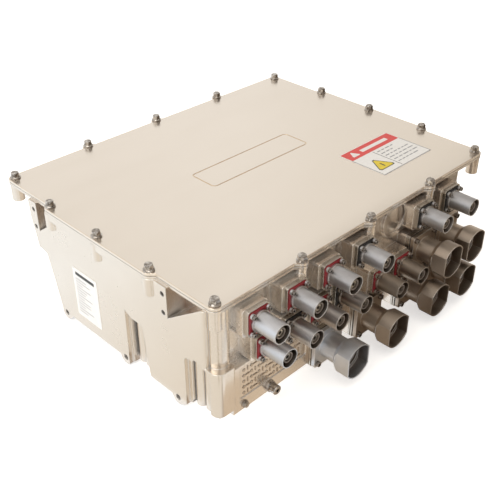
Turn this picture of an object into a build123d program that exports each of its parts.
from build123d import *
import os

os.makedirs("parts", exist_ok=True)

# High-voltage distribution box: a cast aluminium tub under a flat bolted lid, with a field
# of metal-shelled cable connectors on its front wall.
# Frame: millimetres, +Z up, front (connector) wall faces -Y, side with the bracket pads
# faces -X.  The origin is the middle of the lid bolt rectangle, at the floor's underside.

# ---------------------------------------------------------------- driving dimensions
BOLT_SPAN_X = 500.0          # corner bolt to corner bolt, along the connector wall
BOLT_SPAN_Y = 390.0          # corner bolt to corner bolt, front to back
SIDE_BOLT_X = 259.5          # mid-side bolts stand a little outside the corner ones
END_BOLT_Y = 205.5
SIDE_BOLT_PITCH = 98.0
END_BOLT_PITCH = 125.5

RIM_X = 518.0                # lid and casting rim, without the bolt ears
RIM_Y = 408.0
RIM_CORNER = 9.0
EAR_R = 7.5                  # ear round each mid-side bolt
EAR_FLARE = 4.0
SIDE_RUN = 98.0              # half length of the long outboard run between the side bolts
SIDE_EDGE = SIDE_BOLT_X + EAR_R
BAND_LOW = 146.0             # thick cast band under the rim along the left run
BAND_INSET = 0.6

LID_TOP = 162.5
LID_THICK = 3.5
GASKET_THICK = 0.8
RIM_THICK = 3.4
NAME_FIELD = (184.0, 46.0)   # plain grooved frame on the lid
NAME_PLACE = (12.0, 12.0)
NAME_GROOVE = 1.2
NAME_DEEP = 0.6
RIB_HIGH = 3.0               # ribs under the lid
RIB_WIDE = 4.0
RIB_FRAME = (400.0, 296.0)
RIB_PLACE = (-13.0, -24.0)
LID_BOTTOM = LID_TOP - LID_THICK
RIM_TOP = LID_BOTTOM - GASKET_THICK
RIM_BOTTOM = RIM_TOP - RIM_THICK

WALL = 5.0
LEFT = -262.5                # outer face of the left skirt
RIGHT = 215.0
FRONT = -194.0               # front wall between the connector plinths
APRON_FRONT = -207.5         # thicker lower left part of the front wall
APRON_TOP = 68.0
APRON_RIGHT = -108.0
PANEL_X = (-226.0, -113.0)   # sunk panel in the apron
PANEL_Z = (17.5, 64.0)
PANEL_DEEP = 1.2
FOOT_FRONT = -210.5          # near corner foot
FOOT_RIGHT = -235.0
FOOT_BACK = -175.0
FOOT_TOP = 76.0
FOOT_BEVEL = 12.0
FOOT_ROUND_LEFT = 11.0
FOOT_ROUND_RIGHT = 3.5
FOOT_BASE = (29.8, 44.8)     # top of the drawn-in bottom of the foot
FOOT_BASE_Y = -188.0
COLUMN_PLACE = (-243.2, -190.5)
COLUMN_R = 13.0
WALL_END_R = 4.0             # rounded end of the left wall beside the column
TUB_LEFT = -241.0            # tub wall behind the left skirt
FLOOR = 5.0
CAVITY_LEFT = -229.0         # thick here, to close the deep pockets beside the bracket pads
CAVITY_RIGHT = RIGHT - WALL
CAVITY_FRONT = FRONT + WALL
CAVITY_BACK = 142.0
CAVITY_MID = ((CAVITY_LEFT + CAVITY_RIGHT) / 2, (CAVITY_FRONT + CAVITY_BACK) / 2)
CAVITY_SIZE = (CAVITY_RIGHT - CAVITY_LEFT, CAVITY_BACK - CAVITY_FRONT)

BOLT_BOSS_R = 6.8            # bosses of the front and back bolts
BOLT_BOSS_LOW = 137.0
WIDE_BOSS_R = 8.4            # bosses of the corner and side bolts
WIDE_BOSS_LOW = 131.0
M6_SHANK_R = 3.0
M6_CLEAR_R = 3.3

LUG_Y = (91.5, -38.0, -139.0)
LUG_R = 10.0
LUG_HOLE_R = 4.2
LUG_DEEP = 14.0

PAD_Y = (137.0, -122.0)
PAD_HOLE_R = 3.4
PAD_HOLE_Z = (117.5, 143.5)
PAD_HOLE_DEEP = 16.0
PAD_DEEP = 30.0              # how far the pads stand out of their pockets
POCKET_LOW = 113.0
POCKET_LONG = 57.0
POCKET_BACK = -7.0           # pocket's start, measured from the holes along Y

WEB_THICK = 4.0              # webs that tie the free bolt bosses to the walls
WEB_LOW = 118.0
BACK_WALL = 144.0

LABEL_SIZE = (108.0, 80.0)
LABEL_PLACE = (157.5, -109.0)
LABEL_THICK = 0.3
RATING_SIZE = (52.0, 76.0)
RATING_PLACE = (-35.0, 54.0)  # along the left wall from the middle, height
GROUND_PLACE = (-219.0, 7.0)

# small shielded connectors, (x, z) of each axis
SMALL_PLACES = (
    (-208.0, 131.5), (-146.5, 131.5), (-85.0, 131.5), (-23.0, 131.5),
    (102.5, 131.5), (163.0, 131.5),
    (-195.0, 90.0), (-150.0, 90.0), (-105.0, 90.0), (-60.0, 90.0),
    (15.0, 72.5), (60.0, 72.5),
)
RED_SEALED = (0, 1, 2, 6, 8, 10, 11)
SMALL_BOSS = 39.0
SMALL_BOSS_FRONT = -213.0
SMALL_PLATE = 34.0
SMALL_PLATE_FRONT = -219.0
SMALL_SEAL_FRONT = -220.5
SMALL_FLANGE_FRONT = -223.0
SMALL_TIP = -254.0
SMALL_TUBE_R = 12.2
SMALL_BORE_R = 11.0
SMALL_SCREW_PITCH = 24.0
SMALL_WALL_HOLE_R = 9.0
SMALL_CONTACT_R = 4.0
SMALL_SOCKET = -236.0        # bottom of the gap between tube and sleeve
SMALL_SLEEVE_R = 6.9
SMALL_SLEEVE_TIP = -251.5
SMALL_CONTACT_TIP = -250.0
SMALL_HOLLOW_R = 5.3         # inside of the touch-proof sleeve
SMALL_PIN_HOLE_R = 2.4
POCKET_RUN = 9.0             # depth along Y of the core pockets in the upper bosses
CORE_POCKET = (5.0, 24.0)
ROUND_BOSS = (68.0, 131.0)   # (x, z)
ROUND_BOSS_R = 27.0
ROUND_DISH_R = 20.0
ROUND_BOSS_HIGH = 3.5

# large cable connectors with a screwed-on bell nut
LARGE_PLACES = (
    (-85.0, 25.0), (-4.0, 25.0), (88.0, 25.0), (153.0, 25.0),
    (107.0, 78.0), (161.0, 78.0),
)
LARGE_PLINTH_FRONT = -207.5
LARGE_PLATE = 52.0
LARGE_PLATE_FRONT = -213.5
LARGE_SEAL_FRONT = -214.7
LARGE_FLANGE_FRONT = -220.0
LARGE_NECK_END = -250.0
LARGE_TIP = -267.5
LARGE_NECK_R = 17.5
LARGE_BELL_R = 23.7
LARGE_BELL_FLATS = 39.6      # across the two wrench flats
BELL_LONG = 24.5
BELL_FLARE = 6.0
BELL_SOCKET = 9.5            # length of the nut's bore that runs on the neck
BELL_WALL = 1.6
LARGE_SCREW_PITCH = 40.0
LARGE_WALL_HOLE_R = 13.0
LARGE_CONTACT_R = 7.0
LARGE_PIN_HOLE_R = 4.5
LARGE_SOCKET = -228.0        # inner end of the open neck: insulator and contact finish here
LARGE_BORE_R = LARGE_NECK_R - 2.5
LARGE_MOUTH_R = LARGE_NECK_R - 2.0   # the open end of the neck, which takes the cable ferrule
RUNNING_GAP = 0.05

CONTACT_BACK = -172.0        # inner end of every contact stud
BAR_THICK = 4.0
BAR_FRONT = -184.0           # face of the collector bars that the insulators touch

TRAY_LOW = 15.0
TRAY_TOP = 19.0


def bolt_places():
    """Plan positions of the sixteen lid bolts."""
    corners = [(sx * BOLT_SPAN_X / 2, sy * BOLT_SPAN_Y / 2) for sx in (-1, 1) for sy in (-1, 1)]
    sides = [(sx * SIDE_BOLT_X, k * SIDE_BOLT_PITCH) for sx in (-1, 1) for k in (-1, 0, 1)]
    ends = [(k * END_BOLT_PITCH, sy * END_BOLT_Y) for sy in (-1, 1) for k in (-1, 0, 1)]
    return corners, sides, ends


CORNER_BOLTS, SIDE_BOLTS, END_BOLTS = bolt_places()
ALL_BOLTS = CORNER_BOLTS + SIDE_BOLTS + END_BOLTS


def rim_outline(shrink=0.0):
    """Rounded rectangle with a long run out to the side bolts and an ear at each end bolt."""
    RectangleRounded(RIM_X - 2 * shrink, RIM_Y - 2 * shrink, RIM_CORNER)
    ear = EAR_R - shrink
    for side in (-1, 1):
        edge = side * (RIM_X / 2 - shrink - 2)
        outer = side * (SIDE_EDGE - shrink)
        middle = outer - side * ear / 2
        root = SIDE_RUN + ear + EAR_FLARE + 2
        shoulder = SIDE_RUN + ear * 0.85
        with BuildLine() as run:
            Polyline((edge, -root), (middle, -shoulder), (outer, -SIDE_RUN),
                     (outer, SIDE_RUN), (middle, shoulder), (edge, root), close=True)
        make_face(run.edges())
    with Locations(*SIDE_BOLTS):
        Circle(ear)
    for x, y in END_BOLTS:
        side = 1 if y > 0 else -1
        edge = side * (RIM_Y / 2 - shrink - 2)
        with Locations((x, y)):
            Circle(ear)
        with BuildLine() as flare:
            Polyline((x - ear - EAR_FLARE - 2, edge), (x - ear * 0.85, y + side * ear / 2),
                     (x + ear * 0.85, y + side * ear / 2), (x + ear + EAR_FLARE + 2, edge),
                     close=True)
        make_face(flare.edges())


def side_profile(inset=0.0):
    """Front-to-back section of the casting, drawn in the YZ plane (inside a BuildSketch)."""
    with BuildLine() as section:
        Polyline(
            (FRONT + inset, inset), (100.0 - inset, inset), (110.0 - inset, 44.0),
            (120.0 - inset, 83.0 + inset), (137.5 - inset, 86.0 + inset),
            (141.0 - inset, 107.0), (146.0 - inset, 128.0), (147.0 - inset, RIM_BOTTOM),
            (FRONT + inset, RIM_BOTTOM), close=True)
    make_face(section.edges())


def on_front(y):
    """Plane on the front wall at this depth, facing -Y, with local x along +X and y along +Z."""
    return Plane(origin=(0, y, 0), x_dir=(1, 0, 0), z_dir=(0, -1, 0))


def on_left(x):
    """Plane on the left side at this depth, facing -X, with local x along -Y and y along +Z."""
    return Plane(origin=(x, 0, 0), x_dir=(0, -1, 0), z_dir=(-1, 0, 0))


def screw_corners(pitch):
    """Four corner offsets of a square screw pattern."""
    return [(sx * pitch / 2, sz * pitch / 2) for sx in (-1, 1) for sz in (-1, 1)]


def save(part, name):
    """Name a finished sub-part and write its file."""
    part.label = name
    export_step(part, "parts/" + name + ".step")


# ---------------------------------------------------------------- cast case
with BuildPart() as case:
    # one long section makes the floor, back wall and left end
    with BuildSketch(Plane.YZ.offset(LEFT)):
        side_profile()
    extrude(amount=RIGHT - LEFT)
    # thicker lower left front wall with a shallow sunk panel for cast marks
    with BuildSketch(on_front(FRONT)):
        with Locations(((APRON_RIGHT + FOOT_RIGHT) / 2, APRON_TOP / 2)):
            Rectangle(APRON_RIGHT - FOOT_RIGHT + 4, APRON_TOP)
    extrude(amount=FRONT - APRON_FRONT)
    with BuildSketch(on_front(APRON_FRONT)):
        with Locations(((PANEL_X[0] + PANEL_X[1]) / 2, (PANEL_Z[0] + PANEL_Z[1]) / 2)):
            RectangleRounded(PANEL_X[1] - PANEL_X[0], PANEL_Z[1] - PANEL_Z[0], 3.0)
    extrude(amount=-PANEL_DEEP, mode=Mode.SUBTRACT)
    # square corner of the tub is cut away for the round column set back behind the corner bolt
    with BuildSketch(Plane.XY.offset(FOOT_TOP)):
        with Locations((LEFT + 9.0, FRONT + 2.0)):
            Rectangle(20.0, 10.0)
    extrude(amount=RIM_BOTTOM - FOOT_TOP, mode=Mode.SUBTRACT)
    with BuildSketch(Plane.XY.offset(FOOT_TOP)):
        with Locations((LEFT + WALL_END_R, FRONT + 3.0 + WALL_END_R)):
            Circle(WALL_END_R)
        with Locations(COLUMN_PLACE):
            Circle(COLUMN_R)
    extrude(amount=RIM_BOTTOM - FOOT_TOP)
    # bulky foot under the column, its bottom edge drawn in all round
    with BuildSketch(Plane.XY.offset(FOOT_BEVEL)):
        with BuildLine() as foot:
            Polyline((LEFT, FOOT_BACK), (LEFT, FOOT_FRONT), (FOOT_RIGHT, FOOT_FRONT),
                     (FOOT_RIGHT, FOOT_BACK), close=True)
            fillet(foot.vertices().sort_by(Axis.Y)[:2].sort_by(Axis.X)[0], FOOT_ROUND_LEFT)
            fillet(foot.vertices().sort_by(Axis.Y)[:2].sort_by(Axis.X)[-1], FOOT_ROUND_RIGHT)
        make_face()
    extrude(amount=FOOT_TOP - FOOT_BEVEL)
    with BuildSketch(Plane.YZ.offset(LEFT)):
        with BuildLine():
            Polyline((-157.0, 0.0), (-163.0, FOOT_BEVEL), (FRONT - 1, FOOT_BEVEL),
                     (FRONT - 1, -1.0), (-157.0, -1.0), close=True)
        make_face()
    extrude(amount=FOOT_BEVEL, mode=Mode.SUBTRACT)
    with BuildSketch(Plane.XY.offset(FOOT_BEVEL)):
        with Locations((LEFT + FOOT_BASE[0] / 2 + 0.1, FOOT_BASE_Y)):
            RectangleRounded(*FOOT_BASE, 10.0)
    extrude(amount=-FOOT_BEVEL, taper=40.0)
    # rim plate and the bolt boss columns under it
    with BuildSketch(Plane.XY.offset(RIM_BOTTOM)):
        rim_outline()
    extrude(amount=RIM_THICK)
    with BuildSketch(Plane.XY.offset(BOLT_BOSS_LOW)):
        with Locations(*END_BOLTS):
            Circle(BOLT_BOSS_R)
    extrude(amount=RIM_BOTTOM - BOLT_BOSS_LOW)
    with BuildSketch(Plane.XY.offset(WIDE_BOSS_LOW)):
        with Locations(*CORNER_BOLTS, *SIDE_BOLTS):
            Circle(WIDE_BOSS_R)
    extrude(amount=RIM_BOTTOM - WIDE_BOSS_LOW)
    # webs tie the free bosses on the overhanging rim back to the walls
    for x, y in END_BOLTS:
        if y > 0:
            with BuildSketch(Plane.YZ.offset(x - WEB_THICK / 2)):
                with BuildLine():
                    Polyline((BACK_WALL, WEB_LOW), (y, BOLT_BOSS_LOW + 6), (y, RIM_BOTTOM + 1),
                             (BACK_WALL, RIM_BOTTOM + 1), close=True)
                make_face()
            extrude(amount=WEB_THICK)
    for x, y in SIDE_BOLTS:
        if x > 0:
            with BuildSketch(Plane.XZ.offset(-y - WEB_THICK / 2)):
                with BuildLine():
                    Polyline((RIGHT - 2, WEB_LOW), (x, BOLT_BOSS_LOW + 6), (x, RIM_BOTTOM + 1),
                             (RIGHT - 2, RIM_BOTTOM + 1), close=True)
                make_face()
            extrude(amount=WEB_THICK)
    # bosses for the small connectors, plinths for the large ones
    with BuildSketch(on_front(FRONT + 2)):
        for x, z in SMALL_PLACES:
            with Locations((x, z - 1)):
                RectangleRounded(SMALL_BOSS, SMALL_BOSS - 2, 4.0)
    extrude(amount=FRONT + 2 - SMALL_BOSS_FRONT)
    with BuildSketch(on_front(FRONT + 2)):
        for x, z in LARGE_PLACES:
            with Locations((x, z)):
                RectangleRounded(LARGE_PLATE, LARGE_PLATE, 3.0)
    extrude(amount=FRONT + 2 - LARGE_PLINTH_FRONT)
    # core pockets in both flanks of each upper boss leave a slab on top
    with BuildSketch(on_front(FRONT)):
        for x, z in SMALL_PLACES[:6]:
            with Locations((x - SMALL_BOSS / 2, z - 3), (x + SMALL_BOSS / 2, z - 3)):
                Rectangle(*CORE_POCKET)
    extrude(amount=POCKET_RUN, mode=Mode.SUBTRACT)
    # large round cast boss on the bare stretch of wall
    with BuildSketch(on_front(FRONT)):
        with Locations(ROUND_BOSS):
            Circle(ROUND_BOSS_R)
    extrude(amount=ROUND_BOSS_HIGH)
    with BuildSketch(on_front(FRONT - ROUND_BOSS_HIGH)):
        with Locations(ROUND_BOSS):
            Circle(ROUND_DISH_R)
    extrude(amount=-2.0, mode=Mode.SUBTRACT)
    # bottom mounting lugs, left and right, each flared into the skirt
    for x0, x1 in ((LEFT, LEFT + LUG_DEEP), (RIGHT - LUG_DEEP, RIGHT)):
        with BuildSketch(Plane.YZ.offset(x0)):
            for y in LUG_Y:
                reach = 14.0 if y > 80 else 20.0
                with Locations((y, 0.0)):
                    Circle(LUG_R)
                with BuildLine():
                    Polyline((y - reach, 1.0), (y - LUG_R * 0.64, -LUG_R * 0.77),
                             (y + LUG_R * 0.64, -LUG_R * 0.77), (y + reach * 0.6, 1.0),
                             close=True)
                make_face()
        extrude(amount=x1 - x0)

    # ---- hollow the tub, leaving an inward lip under the rim on the left
    with BuildSketch(Plane.YZ.offset(CAVITY_LEFT)):
        side_profile(WALL)
    extrude(amount=CAVITY_RIGHT - CAVITY_LEFT, mode=Mode.SUBTRACT)
    with BuildSketch(Plane.XY.offset(RIM_BOTTOM - 6)):
        with Locations(CAVITY_MID):
            Rectangle(*CAVITY_SIZE)
    extrude(amount=RIM_THICK + 8, mode=Mode.SUBTRACT)
    # gap behind the left skirt, open underneath
    with BuildSketch(Plane.XY.offset(-20.0)):
        with Locations(((LEFT + WALL + TUB_LEFT) / 2, -28.5)):
            Rectangle(TUB_LEFT - LEFT - WALL, 237.0)
        for y in LUG_Y:
            with Locations(((LEFT + TUB_LEFT) / 2, y)):
                Rectangle(TUB_LEFT - LEFT + 2, 2 * LUG_R + 1, mode=Mode.SUBTRACT)
    extrude(amount=120.0, mode=Mode.SUBTRACT)
    with BuildSketch(Plane.XY.offset(-20.0)):
        with Locations(((LEFT + WALL + TUB_LEFT) / 2, -175.0)):
            Rectangle(TUB_LEFT - LEFT - WALL, 30.0)
    extrude(amount=96.0, mode=Mode.SUBTRACT)
    # two notches in the skirt show the tub wall behind it
    with BuildSketch(Plane.YZ.offset(LEFT - 1)):
        with BuildLine():
            Polyline((-45.0, -15.0), (-45.5, 80.0), (-52.0, 77.0), (-60.0, 74.0), (-77.0, 73.0),
                     (-80.0, 69.0), (-89.5, -15.0), close=True)
        make_face()
        with BuildLine():
            Polyline((-154.0, -15.0), (-154.0, 69.0), (-158.0, 73.0), (-168.0, 74.0),
                     (-171.0, 77.5), (-180.0, 77.5), (-184.0, 74.0), (-193.0, 72.0),
                     (-197.0, 66.0), (-197.0, -15.0), close=True)
        make_face()
    extrude(amount=WALL + 2, mode=Mode.SUBTRACT)
    # screw columns of the tub wall seen through the notches
    with BuildSketch(Plane.XY):
        with Locations((-246.0, -58.0), (-246.0, -70.0), (-247.0, -166.0), (-245.0, -180.0)):
            Circle(7.0)
    extrude(amount=82.0)
    # bracket pads stand free: a three-cornered pocket beside each one runs up to the rim
    for y in [pad + POCKET_BACK for pad in PAD_Y]:
        with BuildSketch(Plane.YZ.offset(LEFT - 1)):
            with BuildLine():
                Polyline((y, RIM_BOTTOM), (y, POCKET_LOW), (y - POCKET_LONG, RIM_BOTTOM),
                         close=True)
            make_face()
        extrude(amount=PAD_DEEP, mode=Mode.SUBTRACT)
    # bolt bosses and the thick band cross the pockets
    with BuildSketch(Plane.XY.offset(WIDE_BOSS_LOW)):
        with Locations(*SIDE_BOLTS):
            Circle(WIDE_BOSS_R)
    extrude(amount=RIM_BOTTOM - WIDE_BOSS_LOW)
    with BuildSketch(Plane.XY.offset(BAND_LOW)):
        with Locations(((LEFT - SIDE_EDGE + BAND_INSET) / 2 + 3.0, 0.0)):
            Rectangle(SIDE_EDGE - BAND_INSET + LEFT + 6.0, 2 * SIDE_RUN)
    extrude(amount=RIM_BOTTOM - BAND_LOW)

    # ---- holes
    with BuildSketch(Plane.XY.offset(BOLT_BOSS_LOW + 3)):
        with Locations(*ALL_BOLTS):
            Circle(M6_SHANK_R)
    extrude(amount=RIM_TOP - BOLT_BOSS_LOW, mode=Mode.SUBTRACT)
    with BuildSketch(on_front(FRONT + WALL + 2)):
        with Locations(*SMALL_PLACES):
            Circle(SMALL_WALL_HOLE_R)
        with Locations(*LARGE_PLACES):
            Circle(LARGE_WALL_HOLE_R)
    extrude(amount=40.0, mode=Mode.SUBTRACT)
    with BuildSketch(on_left(LEFT)):
        with Locations(*[(-y, z) for y in PAD_Y for z in PAD_HOLE_Z]):
            Circle(PAD_HOLE_R)
    extrude(amount=-PAD_HOLE_DEEP, mode=Mode.SUBTRACT)
    with BuildSketch(on_left(LEFT)):
        with Locations(*[(-y, 0.0) for y in LUG_Y]):
            Circle(LUG_HOLE_R)
    extrude(amount=-LUG_DEEP, mode=Mode.SUBTRACT)
    with BuildSketch(on_left(RIGHT)):
        with Locations(*[(-y, 0.0) for y in LUG_Y]):
            Circle(LUG_HOLE_R)
    extrude(amount=LUG_DEEP, mode=Mode.SUBTRACT)
save(case.part, "case")

# ---------------------------------------------------------------- lid, gasket and lid bolts
with BuildPart() as lid:
    with BuildSketch(Plane.XY.offset(LID_BOTTOM)):
        rim_outline()
        with Locations(*ALL_BOLTS):
            Circle(M6_CLEAR_R, mode=Mode.SUBTRACT)
    extrude(amount=LID_THICK)
    # shallow stiffening rib pattern underneath, inside the rim opening
    with BuildSketch(Plane.XY.offset(LID_BOTTOM - RIB_HIGH)):
        with Locations(RIB_PLACE):
            RectangleRounded(*RIB_FRAME, 12.0)
            RectangleRounded(RIB_FRAME[0] - 2 * RIB_WIDE, RIB_FRAME[1] - 2 * RIB_WIDE, 8.0,
                             mode=Mode.SUBTRACT)
            Rectangle(RIB_WIDE, RIB_FRAME[1] - RIB_WIDE)
            Rectangle(RIB_FRAME[0] - RIB_WIDE, RIB_WIDE)
    extrude(amount=RIB_HIGH)
    chamfer(lid.faces().sort_by(Axis.Z)[-1].outer_wire().edges(), 0.5)
    # plain grooved frame in the middle of the lid, an empty name field
    with BuildSketch(Plane.XY.offset(LID_TOP)):
        with Locations(NAME_PLACE):
            RectangleRounded(*NAME_FIELD, 6.0)
            RectangleRounded(NAME_FIELD[0] - 2 * NAME_GROOVE, NAME_FIELD[1] - 2 * NAME_GROOVE,
                             6.0 - NAME_GROOVE, mode=Mode.SUBTRACT)
    extrude(amount=-NAME_DEEP, mode=Mode.SUBTRACT)
save(lid.part, "lid")

with BuildPart() as lid_gasket:
    with BuildSketch(Plane.XY.offset(RIM_TOP)):
        rim_outline(0.6)
        with Locations(CAVITY_MID):
            RectangleRounded(CAVITY_SIZE[0] + 2, CAVITY_SIZE[1] + 2, 3.0, mode=Mode.SUBTRACT)
        with Locations(*ALL_BOLTS):
            Circle(M6_CLEAR_R + 0.4, mode=Mode.SUBTRACT)
    extrude(amount=GASKET_THICK)
save(lid_gasket.part, "lid_gasket")

BOLT_FLANGE_R = 7.0
BOLT_FLANGE_THICK = 1.6
BOLT_HEX = 10.0
BOLT_HEAD = 8.2
BOLT_LONG = 22.0

with BuildPart() as lid_bolts:
    with BuildSketch(Plane.XY.offset(LID_TOP)):
        with Locations(*ALL_BOLTS):
            Circle(BOLT_FLANGE_R)
    extrude(amount=BOLT_FLANGE_THICK)
    with BuildSketch(Plane.XY.offset(LID_TOP + BOLT_FLANGE_THICK)):
        with Locations(*ALL_BOLTS):
            RegularPolygon(BOLT_HEX / 2, 6, major_radius=False)
    extrude(amount=BOLT_HEAD - BOLT_FLANGE_THICK)
    # domed top on every hexagon and a cone from the flange up to it
    with Locations(*[(x, y, LID_TOP + BOLT_FLANGE_THICK + 0.6) for x, y in ALL_BOLTS]):
        Cone(BOLT_FLANGE_R - 0.6, BOLT_HEX / 2, 1.2)
    with BuildSketch(Plane.XY.offset(LID_TOP + BOLT_HEAD - 1.0)):
        with Locations(*ALL_BOLTS):
            Circle(BOLT_HEX)
            Circle(BOLT_HEX / 2 + 0.3, mode=Mode.SUBTRACT)
    extrude(amount=2.0, mode=Mode.SUBTRACT, taper=-30)
    with BuildSketch(Plane.XY.offset(LID_TOP)):
        with Locations(*ALL_BOLTS):
            Circle(M6_SHANK_R - 0.05)
    extrude(amount=-(BOLT_LONG - 2))
save(lid_bolts.part, "lid_bolts")

# ---------------------------------------------------------------- plates on the enclosure
with BuildPart() as warning_label:
    with BuildSketch(Plane.XY.offset(LID_TOP)):
        with Locations(LABEL_PLACE):
            RectangleRounded(*LABEL_SIZE, 2.0)
    extrude(amount=LABEL_THICK)
save(warning_label.part, "warning_label")

with BuildPart() as rating_plate:
    with BuildSketch(on_left(LEFT)):
        with Locations(RATING_PLACE):
            RectangleRounded(*RATING_SIZE, 1.5)
    extrude(amount=0.4)
save(rating_plate.part, "rating_plate")

with BuildPart() as grounding_screw:
    with BuildSketch(on_front(APRON_FRONT)):
        with Locations(GROUND_PLACE):
            Circle(5.0)
    extrude(amount=1.2)
    with BuildSketch(on_front(APRON_FRONT - 1.2)):
        with Locations(GROUND_PLACE):
            RegularPolygon(3.5, 6, major_radius=False)
    extrude(amount=3.2)
save(grounding_screw.part, "grounding_screw")

VENT_X = -178.0
VENT_Z = 9.0
with BuildPart() as vent_fitting:
    with BuildSketch(on_front(APRON_FRONT)):
        with Locations((VENT_X, VENT_Z)):
            RegularPolygon(7.0, 6, major_radius=False)
    extrude(amount=4.0)
    with BuildSketch(on_front(APRON_FRONT - 4.0)):
        with Locations((VENT_X, VENT_Z)):
            Circle(6.2)
    extrude(amount=10.0)
    with BuildSketch(on_front(APRON_FRONT - 2.0)):
        with Locations((VENT_X, VENT_Z)):
            Circle(2.6)
    extrude(amount=12.0, mode=Mode.SUBTRACT)
    chamfer(vent_fitting.faces().sort_by(Axis.Y)[0].outer_wire().edges(), 0.8)
save(vent_fitting.part, "vent_fitting")

# ---------------------------------------------------------------- small connectors
RED_PLACES = [SMALL_PLACES[i] for i in RED_SEALED]
BLACK_PLACES = [p for i, p in enumerate(SMALL_PLACES) if i not in RED_SEALED]
SMALL_SCREWS = [(x + dx, z + dz) for x, z in SMALL_PLACES
                for dx, dz in screw_corners(SMALL_SCREW_PITCH)]
LARGE_SCREWS = [(x + dx, z + dz) for x, z in LARGE_PLACES
                for dx, dz in screw_corners(LARGE_SCREW_PITCH)]
M3_R = 1.5
M4_R = 2.0

with BuildPart() as small_plates:
    with BuildSketch(on_front(SMALL_BOSS_FRONT)):
        with Locations(*SMALL_PLACES):
            RectangleRounded(SMALL_PLATE, SMALL_PLATE, 4.0)
        with Locations(*SMALL_PLACES):
            Circle(SMALL_BORE_R + 0.2, mode=Mode.SUBTRACT)
        with Locations(*SMALL_SCREWS):
            Circle(M3_R, mode=Mode.SUBTRACT)
    extrude(amount=SMALL_BOSS_FRONT - SMALL_PLATE_FRONT)
save(small_plates.part, "small_plates")


def small_seal(places):
    """Flat seal plates of the small connectors at these places."""
    screws = [(x + dx, z + dz) for x, z in places for dx, dz in screw_corners(SMALL_SCREW_PITCH)]
    with BuildPart() as seal:
        with BuildSketch(on_front(SMALL_PLATE_FRONT)):
            with Locations(*places):
                RectangleRounded(SMALL_PLATE - 3, SMALL_PLATE - 3, 5.0)
            with Locations(*places):
                Circle(SMALL_BORE_R + 0.2, mode=Mode.SUBTRACT)
            with Locations(*screws):
                Circle(M3_R + 0.1, mode=Mode.SUBTRACT)
        extrude(amount=SMALL_PLATE_FRONT - SMALL_SEAL_FRONT)
    return seal.part


save(small_seal(RED_PLACES), "red_seals")
save(small_seal(BLACK_PLACES), "black_seals")

with BuildPart() as small_shells:
    with BuildSketch(on_front(SMALL_SEAL_FRONT)):
        with Locations(*SMALL_PLACES):
            Circle(SMALL_TUBE_R + 1.4)
            Rectangle(SMALL_SCREW_PITCH + 2, 7.0, rotation=45)
            Rectangle(SMALL_SCREW_PITCH + 2, 7.0, rotation=-45)
        with Locations(*SMALL_SCREWS):
            Circle(3.4)
    extrude(amount=SMALL_SEAL_FRONT - SMALL_FLANGE_FRONT)
    with BuildSketch(on_front(SMALL_FLANGE_FRONT)):
        with Locations(*SMALL_PLACES):
            Circle(SMALL_TUBE_R)
    extrude(amount=SMALL_FLANGE_FRONT - SMALL_TIP)
    with BuildSketch(on_front(SMALL_SEAL_FRONT)):
        with Locations(*SMALL_PLACES):
            Circle(SMALL_BORE_R)
        with Locations(*SMALL_SCREWS):
            Circle(M3_R)
    extrude(amount=SMALL_SEAL_FRONT - SMALL_TIP, mode=Mode.SUBTRACT)
save(small_shells.part, "small_shells")

with BuildPart() as small_insulators:
    # body in the wall bore, wider collar in the plate and shell, then the touch-proof sleeve
    with BuildSketch(on_front(BAR_FRONT)):
        with Locations(*SMALL_PLACES):
            Circle(SMALL_WALL_HOLE_R)
    extrude(amount=BAR_FRONT - SMALL_BOSS_FRONT)
    with BuildSketch(on_front(SMALL_BOSS_FRONT)):
        with Locations(*SMALL_PLACES):
            Circle(SMALL_BORE_R)
    extrude(amount=SMALL_BOSS_FRONT - SMALL_SOCKET)
    with BuildSketch(on_front(SMALL_SOCKET)):
        with Locations(*SMALL_PLACES):
            Circle(SMALL_SLEEVE_R)
    extrude(amount=SMALL_SOCKET - SMALL_SLEEVE_TIP)
    with BuildSketch(on_front(SMALL_SOCKET)):
        with Locations(*SMALL_PLACES):
            Circle(SMALL_HOLLOW_R)
    extrude(amount=SMALL_SOCKET - SMALL_SLEEVE_TIP, mode=Mode.SUBTRACT)
    with BuildSketch(on_front(BAR_FRONT)):
        with Locations(*SMALL_PLACES):
            Circle(SMALL_CONTACT_R)
    extrude(amount=80.0, mode=Mode.SUBTRACT)
save(small_insulators.part, "small_insulators")

with BuildPart() as small_contacts:
    with BuildSketch(on_front(CONTACT_BACK)):
        with Locations(*SMALL_PLACES):
            Circle(SMALL_CONTACT_R)
    extrude(amount=CONTACT_BACK - SMALL_CONTACT_TIP)
    with BuildSketch(on_front(SMALL_CONTACT_TIP)):
        with Locations(*SMALL_PLACES):
            Circle(SMALL_PIN_HOLE_R)
    extrude(amount=-10.0, mode=Mode.SUBTRACT)
save(small_contacts.part, "small_contacts")


def cap_screws(places, plane_y, thread_r, head_r, head_long, reach):
    """Socket cap screws facing -Y, heads on the plane at plane_y."""
    with BuildPart() as screws:
        with BuildSketch(on_front(plane_y)):
            with Locations(*places):
                Circle(head_r)
        extrude(amount=head_long)
        with BuildSketch(on_front(plane_y)):
            with Locations(*places):
                Circle(thread_r)
        extrude(amount=-reach)
        with BuildSketch(on_front(plane_y - head_long)):
            with Locations(*places):
                RegularPolygon(head_r * 0.5, 6, major_radius=False)
        extrude(amount=-head_long * 0.55, mode=Mode.SUBTRACT)
    return screws.part


save(cap_screws(SMALL_SCREWS, SMALL_FLANGE_FRONT, M3_R, 2.75, 3.0,
                SMALL_BOSS_FRONT - SMALL_FLANGE_FRONT), "small_screws")

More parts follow.
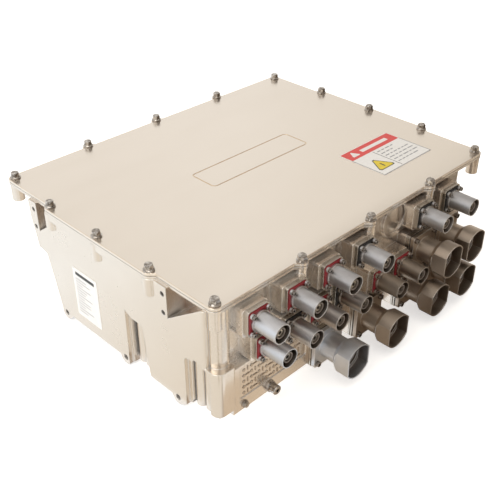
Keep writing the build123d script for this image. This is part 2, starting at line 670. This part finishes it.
# ---------------------------------------------------------------- large connectors
with BuildPart() as large_plates:
    with BuildSketch(on_front(LARGE_PLINTH_FRONT)):
        with Locations(*LARGE_PLACES):
            RectangleRounded(LARGE_PLATE, LARGE_PLATE, 3.0)
        with Locations(*LARGE_PLACES):
            Circle(LARGE_BORE_R, mode=Mode.SUBTRACT)
        with Locations(*LARGE_SCREWS):
            Circle(M4_R, mode=Mode.SUBTRACT)
    extrude(amount=LARGE_PLINTH_FRONT - LARGE_PLATE_FRONT)
    # shallow groove round the edge splits the plate into two steps
    with BuildSketch(on_front(LARGE_PLINTH_FRONT - 2.6)):
        with Locations(*LARGE_PLACES):
            Rectangle(LARGE_PLATE + 2, LARGE_PLATE + 2)
        with Locations(*LARGE_PLACES):
            RectangleRounded(LARGE_PLATE - 2.4, LARGE_PLATE - 2.4, 2.0, mode=Mode.SUBTRACT)
    extrude(amount=1.4, mode=Mode.SUBTRACT)
save(large_plates.part, "large_plates")

with BuildPart() as large_seals:
    with BuildSketch(on_front(LARGE_PLATE_FRONT)):
        with Locations(*LARGE_PLACES):
            RectangleRounded(LARGE_PLATE - 2, LARGE_PLATE - 2, 3.0)
        with Locations(*LARGE_PLACES):
            Circle(LARGE_BORE_R, mode=Mode.SUBTRACT)
        with Locations(*LARGE_SCREWS):
            Circle(M4_R + 0.1, mode=Mode.SUBTRACT)
    extrude(amount=LARGE_PLATE_FRONT - LARGE_SEAL_FRONT)
save(large_seals.part, "large_seals")

with BuildPart() as large_shells:
    with BuildSketch(on_front(LARGE_SEAL_FRONT)):
        with Locations(*LARGE_PLACES):
            RectangleRounded(LARGE_PLATE - 1, LARGE_PLATE - 1, 3.5)
    extrude(amount=LARGE_SEAL_FRONT - LARGE_FLANGE_FRONT)
    with BuildSketch(on_front(LARGE_FLANGE_FRONT)):
        with Locations(*LARGE_PLACES):
            Circle(LARGE_NECK_R)
    extrude(amount=LARGE_FLANGE_FRONT - LARGE_NECK_END)
    with BuildSketch(on_front(LARGE_SEAL_FRONT)):
        with Locations(*LARGE_PLACES):
            Circle(LARGE_BORE_R)
        with Locations(*LARGE_SCREWS):
            Circle(M4_R)
    extrude(amount=LARGE_SEAL_FRONT - LARGE_NECK_END, mode=Mode.SUBTRACT)
    with BuildSketch(on_front(LARGE_SOCKET)):
        with Locations(*LARGE_PLACES):
            Circle(LARGE_MOUTH_R)
    extrude(amount=LARGE_SOCKET - LARGE_NECK_END, mode=Mode.SUBTRACT)
save(large_shells.part, "large_shells")


def bell_nut(x, z):
    """Flared clamp nut with two wrench flats, running on the end of a neck."""
    flats = LARGE_BELL_FLATS / 2
    with BuildPart() as nut:
        with BuildSketch(Plane.XY):
            with BuildLine():
                Polyline((0.0, 0.0), (LARGE_NECK_R + 1.4, 0.0), (LARGE_BELL_R, BELL_FLARE),
                         (LARGE_BELL_R, BELL_LONG), (0.0, BELL_LONG), close=True)
            make_face()
        revolve(axis=Axis.Y)
        with BuildSketch(Plane.XZ.offset(-BELL_FLARE / 2)):
            with Locations((flats + 5, 0), (-flats - 5, 0)):
                Rectangle(10.0, 60.0)
        extrude(amount=-BELL_LONG, mode=Mode.SUBTRACT)
        # the hollow follows the flats, so the rim stays one thin even wall
        with BuildSketch(Plane.XZ.offset(-BELL_SOCKET)):
            Circle(LARGE_BELL_R - BELL_WALL)
            Rectangle(LARGE_BELL_FLATS - 2 * BELL_WALL, 60.0, mode=Mode.INTERSECT)
        extrude(amount=-BELL_LONG, mode=Mode.SUBTRACT)
        with BuildSketch(Plane.XZ):
            Circle(LARGE_NECK_R + RUNNING_GAP)
        extrude(amount=-BELL_LONG, mode=Mode.SUBTRACT)
    turned = nut.part.rotate(Axis.X, 180)
    return turned.moved(Location((x, LARGE_TIP + BELL_LONG, z)))


for number, (x, z) in enumerate(LARGE_PLACES, start=1):
    save(bell_nut(x, z), "bell_nut_" + str(number))

with BuildPart() as large_insulators:
    with BuildSketch(on_front(BAR_FRONT)):
        with Locations(*LARGE_PLACES):
            Circle(LARGE_WALL_HOLE_R)
    extrude(amount=BAR_FRONT - LARGE_PLINTH_FRONT)
    with BuildSketch(on_front(LARGE_PLINTH_FRONT)):
        with Locations(*LARGE_PLACES):
            Circle(LARGE_BORE_R)
    extrude(amount=LARGE_PLINTH_FRONT - LARGE_SOCKET)
    with BuildSketch(on_front(BAR_FRONT)):
        with Locations(*LARGE_PLACES):
            Circle(LARGE_CONTACT_R)
    extrude(amount=60.0, mode=Mode.SUBTRACT)
save(large_insulators.part, "large_insulators")

with BuildPart() as large_contacts:
    with BuildSketch(on_front(CONTACT_BACK)):
        with Locations(*LARGE_PLACES):
            Circle(LARGE_CONTACT_R)
    extrude(amount=CONTACT_BACK - LARGE_SOCKET)
    with BuildSketch(on_front(LARGE_SOCKET)):
        with Locations(*LARGE_PLACES):
            Circle(LARGE_PIN_HOLE_R)
    extrude(amount=-14.0, mode=Mode.SUBTRACT)
save(large_contacts.part, "large_contacts")

save(cap_screws(LARGE_SCREWS, LARGE_FLANGE_FRONT, M4_R, 3.5, 4.0,
                LARGE_PLINTH_FRONT - LARGE_FLANGE_FRONT), "large_screws")

# ---------------------------------------------------------------- collector bars behind the wall
BAR_HIGH = 18.0
BAR_BACK = BAR_FRONT + BAR_THICK
SMALL_ROWS = (SMALL_PLACES[0:6], SMALL_PLACES[6:10], SMALL_PLACES[10:12])
LARGE_ROWS = (LARGE_PLACES[0:4], LARGE_PLACES[4:6])


def collector_bar(places, high, hole_r):
    """Flat copper bar joining every contact of one row, with a hole for each contact."""
    low_x = min(x for x, z in places) - 12.0
    high_x = max(x for x, z in places) + 12.0
    z = places[0][1]
    with BuildPart() as bar:
        with BuildSketch(on_front(BAR_BACK)):
            with Locations(((low_x + high_x) / 2, z)):
                RectangleRounded(high_x - low_x, high, 3.0)
            with Locations(*places):
                Circle(hole_r, mode=Mode.SUBTRACT)
        extrude(amount=BAR_THICK)
    return bar.part


for name, places, hole_r in (("upper_small_busbar", SMALL_ROWS[0], SMALL_CONTACT_R),
                             ("lower_small_busbar", SMALL_ROWS[1], SMALL_CONTACT_R),
                             ("pair_small_busbar", SMALL_ROWS[2], SMALL_CONTACT_R),
                             ("lower_large_busbar", LARGE_ROWS[0], LARGE_CONTACT_R),
                             ("upper_large_busbar", LARGE_ROWS[1], LARGE_CONTACT_R)):
    save(collector_bar(places, BAR_HIGH if hole_r < 5 else 24.0, hole_r), name)


def contact_nuts(places, bore_r, across):
    """Hexagon nuts on the inner ends of the contact studs."""
    with BuildPart() as nuts:
        with BuildSketch(on_front(BAR_BACK)):
            with Locations(*places):
                RegularPolygon(across / 2, 6, major_radius=False)
            with Locations(*places):
                Circle(bore_r, mode=Mode.SUBTRACT)
        extrude(amount=-6.0)
    return nuts.part


save(contact_nuts(SMALL_PLACES, SMALL_CONTACT_R, 13.0), "small_contact_nuts")
save(contact_nuts(LARGE_PLACES, LARGE_CONTACT_R, 21.0), "large_contact_nuts")

# ---------------------------------------------------------------- equipment tray
TRAY_X = (-225.0, 200.0)
TRAY_Y = (-160.0, 84.0)
TRAY_POSTS = [(x, y) for x in (-210.0, -12.0, 160.0) for y in (-98.0, 72.0)]

with BuildPart() as equipment_tray:
    with BuildSketch(Plane.XY.offset(TRAY_LOW)):
        with Locations((sum(TRAY_X) / 2, sum(TRAY_Y) / 2)):
            RectangleRounded(TRAY_X[1] - TRAY_X[0], TRAY_Y[1] - TRAY_Y[0], 6.0)
        with Locations(*TRAY_POSTS):
            Circle(2.5, mode=Mode.SUBTRACT)
    extrude(amount=TRAY_TOP - TRAY_LOW)
save(equipment_tray.part, "equipment_tray")

with BuildPart() as tray_posts:
    with BuildSketch(Plane.XY.offset(FLOOR)):
        with Locations(*TRAY_POSTS):
            RegularPolygon(6.0, 6, major_radius=False)
        with Locations(*TRAY_POSTS):
            Circle(2.5, mode=Mode.SUBTRACT)
    extrude(amount=TRAY_LOW - FLOOR)
save(tray_posts.part, "tray_posts")

with BuildPart() as tray_screws:
    with BuildSketch(Plane.XY.offset(FLOOR + 2)):
        with Locations(*TRAY_POSTS):
            Circle(2.5)
    extrude(amount=TRAY_TOP - FLOOR - 2)
    with BuildSketch(Plane.XY.offset(TRAY_TOP)):
        with Locations(*TRAY_POSTS):
            Circle(4.5)
    extrude(amount=3.0)
save(tray_screws.part, "tray_screws")

# ---------------------------------------------------------------- contactors with moving armatures
CONTACTOR_X = (-170.0, -85.0, 0.0)
CONTACTOR_Y = 15.0
CONTACTOR_SIZE = (66.0, 72.0)
CONTACTOR_HIGH = 56.0
COVER_LOW = TRAY_TOP + CONTACTOR_HIGH
COVER_THICK = 7.0
COIL_R = 20.0
ARMATURE_R = 8.95
COIL_BORE_R = ARMATURE_R + RUNNING_GAP
COIL_LOW = TRAY_TOP + 4.0
COIL_HIGH = 26.0
TERMINAL_PITCH = 32.0
TERMINAL_R = 6.0
BRIDGE_LOW = 59.0
BRIDGE_THICK = 4.0
ARMATURE_TRAVEL = 2.0
TERMINAL_LOW = BRIDGE_LOW + BRIDGE_THICK + ARMATURE_TRAVEL + RUNNING_GAP
CONTACTOR_PLACES = [(x, CONTACTOR_Y) for x in CONTACTOR_X]
TERMINAL_PLACES = [(x, CONTACTOR_Y + s * TERMINAL_PITCH / 2) for x in CONTACTOR_X for s in (-1, 1)]

with BuildPart() as contactor_housings:
    with BuildSketch(Plane.XY.offset(TRAY_TOP)):
        with Locations(*CONTACTOR_PLACES):
            RectangleRounded(*CONTACTOR_SIZE, 6.0)
    extrude(amount=CONTACTOR_HIGH)
    with BuildSketch(Plane.XY.offset(COIL_LOW)):
        with Locations(*CONTACTOR_PLACES):
            RectangleRounded(CONTACTOR_SIZE[0] - 12, CONTACTOR_SIZE[1] - 12, 4.0)
    extrude(amount=CONTACTOR_HIGH, mode=Mode.SUBTRACT)
save(contactor_housings.part, "contactor_housings")

with BuildPart() as contactor_covers:
    with BuildSketch(Plane.XY.offset(COVER_LOW)):
        with Locations(*CONTACTOR_PLACES):
            RectangleRounded(*CONTACTOR_SIZE, 6.0)
        with Locations(*TERMINAL_PLACES):
            Circle(TERMINAL_R, mode=Mode.SUBTRACT)
    extrude(amount=COVER_THICK)
    # insulating barrier between the two terminals
    with BuildSketch(Plane.XY.offset(COVER_LOW + COVER_THICK)):
        with Locations(*CONTACTOR_PLACES):
            Rectangle(CONTACTOR_SIZE[0] - 10, 3.0)
    extrude(amount=12.0)
save(contactor_covers.part, "contactor_covers")

with BuildPart() as contactor_coils:
    with BuildSketch(Plane.XY.offset(COIL_LOW)):
        with Locations(*CONTACTOR_PLACES):
            Circle(COIL_R)
            Circle(COIL_BORE_R, mode=Mode.SUBTRACT)
    extrude(amount=COIL_HIGH)
    with BuildSketch(Plane.XY.offset(COIL_LOW)):
        with Locations(*CONTACTOR_PLACES):
            Circle(COIL_R + 4)
            Circle(COIL_R, mode=Mode.SUBTRACT)
    extrude(amount=3.0)
    with BuildSketch(Plane.XY.offset(COIL_LOW + COIL_HIGH - 3)):
        with Locations(*CONTACTOR_PLACES):
            Circle(COIL_R + 4)
            Circle(COIL_R, mode=Mode.SUBTRACT)
    extrude(amount=3.0)
save(contactor_coils.part, "contactor_coils")

with BuildPart() as contactor_terminals:
    with BuildSketch(Plane.XY.offset(TERMINAL_LOW)):
        with Locations(*TERMINAL_PLACES):
            Circle(TERMINAL_R)
    extrude(amount=COVER_LOW + COVER_THICK + 8 - TERMINAL_LOW)
save(contactor_terminals.part, "contactor_terminals")


def armature(x):
    """Plunger rod with the moving contact bridge on top; it rises to touch both terminals."""
    with BuildPart() as moving:
        with BuildSketch(Plane.XY.offset(COIL_LOW + 3)):
            with Locations((x, CONTACTOR_Y)):
                Circle(ARMATURE_R)
        extrude(amount=BRIDGE_LOW - COIL_LOW - 3)
        with BuildSketch(Plane.XY.offset(BRIDGE_LOW)):
            with Locations((x, CONTACTOR_Y)):
                RectangleRounded(14.0, TERMINAL_PITCH + 14, 3.0)
        extrude(amount=BRIDGE_THICK)
    return moving.part


for number, x in enumerate(CONTACTOR_X, start=1):
    save(armature(x), "contactor_armature_" + str(number))

# ---------------------------------------------------------------- fuses on holder blocks
FUSE_X = [-205.0 + 40.0 * k for k in range(6)]
FUSE_Y = -98.0
FUSE_R = 13.0
FUSE_LONG = 50.0
FUSE_CAP = 9.0
FUSE_Z = TRAY_TOP + 30.0
HOLDER_Y = FUSE_LONG / 2 + FUSE_CAP + 10.0
FUSE_PLACES = [(x, FUSE_Z) for x in FUSE_X]

with BuildPart() as fuse_bodies:
    with BuildSketch(on_front(FUSE_Y + FUSE_LONG / 2)):
        with Locations(*FUSE_PLACES):
            Circle(FUSE_R)
    extrude(amount=FUSE_LONG)
save(fuse_bodies.part, "fuse_bodies")

with BuildPart() as fuse_caps:
    for start in (FUSE_Y + FUSE_LONG / 2 + FUSE_CAP, FUSE_Y - FUSE_LONG / 2):
        with BuildSketch(on_front(start)):
            with Locations(*FUSE_PLACES):
                Circle(FUSE_R + 0.8)
        extrude(amount=FUSE_CAP)
    # blade tags lie on the holder blocks
    for sign in (-1, 1):
        with BuildSketch(Plane.XY.offset(FUSE_Z - 1.5)):
            with Locations(*[(x, FUSE_Y + sign * HOLDER_Y) for x in FUSE_X]):
                Rectangle(18.0, 20.0)
        extrude(amount=3.0)
save(fuse_caps.part, "fuse_caps")

with BuildPart() as fuse_holders:
    for sign in (-1, 1):
        with BuildSketch(Plane.XY.offset(TRAY_TOP)):
            with Locations(*[(x, FUSE_Y + sign * HOLDER_Y) for x in FUSE_X]):
                RectangleRounded(24.0, 18.0, 2.0)
        extrude(amount=FUSE_Z - 1.5 - TRAY_TOP)
save(fuse_holders.part, "fuse_holders")

with BuildPart() as fuse_bolts:
    for sign in (-1, 1):
        with BuildSketch(Plane.XY.offset(FUSE_Z + 1.5)):
            with Locations(*[(x, FUSE_Y + sign * HOLDER_Y) for x in FUSE_X]):
                RegularPolygon(6.5, 6, major_radius=False)
        extrude(amount=5.0)
save(fuse_bolts.part, "fuse_bolts")

# ---------------------------------------------------------------- busbars over the contactors
LINK_LOW = COVER_LOW + COVER_THICK

with BuildPart() as contactor_busbars:
    # one bar along the front terminals, one along the back terminals
    for sign in (-1, 1):
        y = CONTACTOR_Y + sign * TERMINAL_PITCH / 2
        with BuildSketch(Plane.XY.offset(LINK_LOW)):
            with Locations((sum(CONTACTOR_X) / 3, y)):
                RectangleRounded(CONTACTOR_X[2] - CONTACTOR_X[0] + 36, 18.0, 3.0)
            with Locations(*[(x, y) for x in CONTACTOR_X]):
                Circle(TERMINAL_R, mode=Mode.SUBTRACT)
        extrude(amount=3.0)
save(contactor_busbars.part, "contactor_busbars")

with BuildPart() as terminal_nuts:
    with BuildSketch(Plane.XY.offset(LINK_LOW + 3.0)):
        with Locations(*TERMINAL_PLACES):
            RegularPolygon(9.0, 6, major_radius=False)
        with Locations(*TERMINAL_PLACES):
            Circle(TERMINAL_R, mode=Mode.SUBTRACT)
    extrude(amount=5.0)
save(terminal_nuts.part, "terminal_nuts")

# ---------------------------------------------------------------- resistor, sensor, control board
with BuildPart() as precharge_resistor:
    with BuildSketch(Plane.XY.offset(TRAY_TOP)):
        with Locations((94.0, 30.0)):
            Rectangle(64.0, 50.0)
    extrude(amount=5.0)
    with BuildSketch(Plane.XY.offset(TRAY_TOP + 5)):
        with Locations((94.0, 30.0)):
            Rectangle(64.0, 30.0)
    extrude(amount=14.0)
    with BuildSketch(Plane.XY.offset(TRAY_TOP + 10)):
        with GridLocations(8.0, 1.0, 7, 1):
            with Locations((94.0, 30.0)):
                Rectangle(4.0, 40.0)
    extrude(amount=12.0, mode=Mode.SUBTRACT)
save(precharge_resistor.part, "precharge_resistor")

with BuildPart() as current_sensor:
    with BuildSketch(Plane.XY.offset(TRAY_TOP)):
        with Locations((160.0, 20.0)):
            RectangleRounded(26.0, 60.0, 3.0)
    extrude(amount=48.0)
    with BuildSketch(Plane.YZ.offset(140.0)):
        with Locations((20.0, TRAY_TOP + 28.0)):
            Rectangle(26.0, 14.0)
    extrude(amount=40.0, mode=Mode.SUBTRACT)
save(current_sensor.part, "current_sensor")

with BuildPart() as sensor_busbar:
    with BuildSketch(Plane.YZ.offset(130.0)):
        with Locations((20.0, TRAY_TOP + 28.0)):
            Rectangle(22.0, 5.0)
    extrude(amount=60.0)
save(sensor_busbar.part, "sensor_busbar")

BOARD_X = (44.0, 198.0)
BOARD_Y = (-150.0, 54.0)
BOARD_LOW = 106.0
BOARD_THICK = 1.6
BOARD_POSTS = [(x, y) for x in (50.0, 192.0) for y in (-144.0, 48.0)]

with BuildPart() as board_posts:
    with BuildSketch(Plane.XY.offset(TRAY_TOP)):
        with Locations(*BOARD_POSTS):
            RegularPolygon(4.0, 6, major_radius=False)
    extrude(amount=BOARD_LOW - TRAY_TOP)
save(board_posts.part, "board_posts")

with BuildPart() as control_board:
    with BuildSketch(Plane.XY.offset(BOARD_LOW)):
        with Locations((sum(BOARD_X) / 2, sum(BOARD_Y) / 2)):
            RectangleRounded(BOARD_X[1] - BOARD_X[0], BOARD_Y[1] - BOARD_Y[0], 4.0)
        with Locations(*BOARD_POSTS):
            Circle(1.6, mode=Mode.SUBTRACT)
    extrude(amount=BOARD_THICK)
save(control_board.part, "control_board")

BOARD_TOP = BOARD_LOW + BOARD_THICK
with BuildPart() as board_chips:
    with BuildSketch(Plane.XY.offset(BOARD_TOP)):
        with Locations((100.0, -50.0), (140.0, -50.0)):
            Rectangle(24.0, 24.0)
        with Locations((90.0, 10.0), (112.0, 10.0), (134.0, 10.0), (156.0, 10.0)):
            Rectangle(14.0, 20.0)
    extrude(amount=3.0)
    with BuildSketch(Plane.XY.offset(BOARD_TOP)):
        with Locations((75.0, -110.0), (95.0, -110.0), (115.0, -110.0), (135.0, -110.0)):
            Circle(7.0)
    extrude(amount=14.0)
save(board_chips.part, "board_chips")

with BuildPart() as board_sockets:
    with BuildSketch(Plane.XY.offset(BOARD_TOP)):
        with Locations((183.0, -90.0), (183.0, -40.0)):
            Rectangle(16.0, 36.0)
    extrude(amount=12.0)
    with BuildSketch(Plane.XY.offset(BOARD_TOP + 3)):
        with Locations((183.0, -90.0), (183.0, -40.0)):
            Rectangle(11.0, 31.0)
    extrude(amount=12.0, mode=Mode.SUBTRACT)
save(board_sockets.part, "board_sockets")

with BuildPart() as board_screws:
    with BuildSketch(Plane.XY.offset(BOARD_TOP)):
        with Locations(*BOARD_POSTS):
            Circle(3.2)
    extrude(amount=2.2)
    with BuildSketch(Plane.XY.offset(BOARD_LOW)):
        with Locations(*BOARD_POSTS):
            Circle(1.6)
    extrude(amount=BOARD_THICK)
save(board_screws.part, "board_screws")

# ---------------------------------------------------------------- lid-open sensing
INTERLOCK_X = 70.0
with BuildPart() as interlock_sensor:
    with BuildSketch(Plane.XY.offset(132.0)):
        with Locations((INTERLOCK_X, 134.0)):
            Rectangle(26.0, 14.0)
    extrude(amount=16.0)
save(interlock_sensor.part, "interlock_sensor")

with BuildPart() as interlock_magnet:
    with BuildSketch(Plane.XY.offset(LID_BOTTOM - 5)):
        with Locations((INTERLOCK_X, 131.0)):
            RectangleRounded(22.0, 9.0, 2.0)
    extrude(amount=5.0)
save(interlock_magnet.part, "interlock_magnet")
